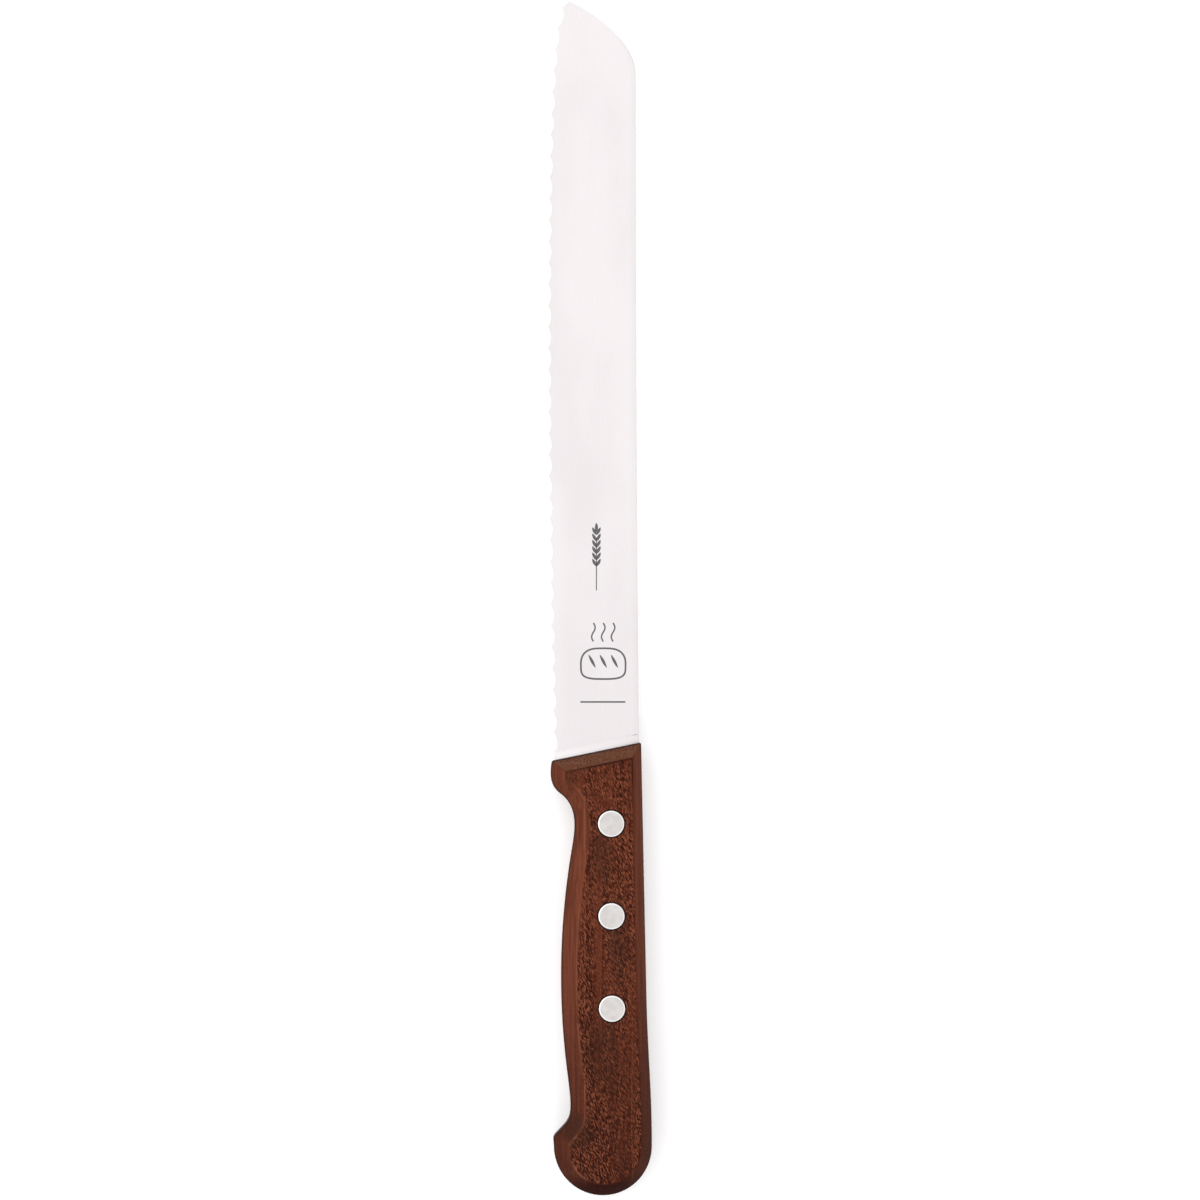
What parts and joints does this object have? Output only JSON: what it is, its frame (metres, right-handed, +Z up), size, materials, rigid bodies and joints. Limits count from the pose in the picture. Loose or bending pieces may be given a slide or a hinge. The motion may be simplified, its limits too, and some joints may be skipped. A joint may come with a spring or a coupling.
{
  "type": "bread knife",
  "caption": "Bread knife with a long scalloped blade, a clipped tip and a slotted wooden handle with a finger groove and a hooked butt, held by flush two-part rivets.",
  "frame": {"origin": "on the surface that the knife lies on, under the middle of its length and width", "axes": "+X from the butt to the tip, +Y from the spine to the cutting edge, +Z up out of the knife's left-hand side"},
  "size_m": [0.3336, 0.029, 0.0175],
  "materials": {
    "steel": "fine satin polish, bright",
    "wood": "stained maple, sanded and waxed, satin",
    "rivet_metal": "ground flush with the wood, satin"
  },
  "bodies": {
    "root": {"blade": "steel", "handle": "wood", "front_rivet_stud": "rivet_metal", "front_rivet_socket": "rivet_metal", "middle_rivet_stud": "rivet_metal", "middle_rivet_socket": "rivet_metal", "rear_rivet_stud": "rivet_metal", "rear_rivet_socket": "rivet_metal"}
  },
  "joints": []
}
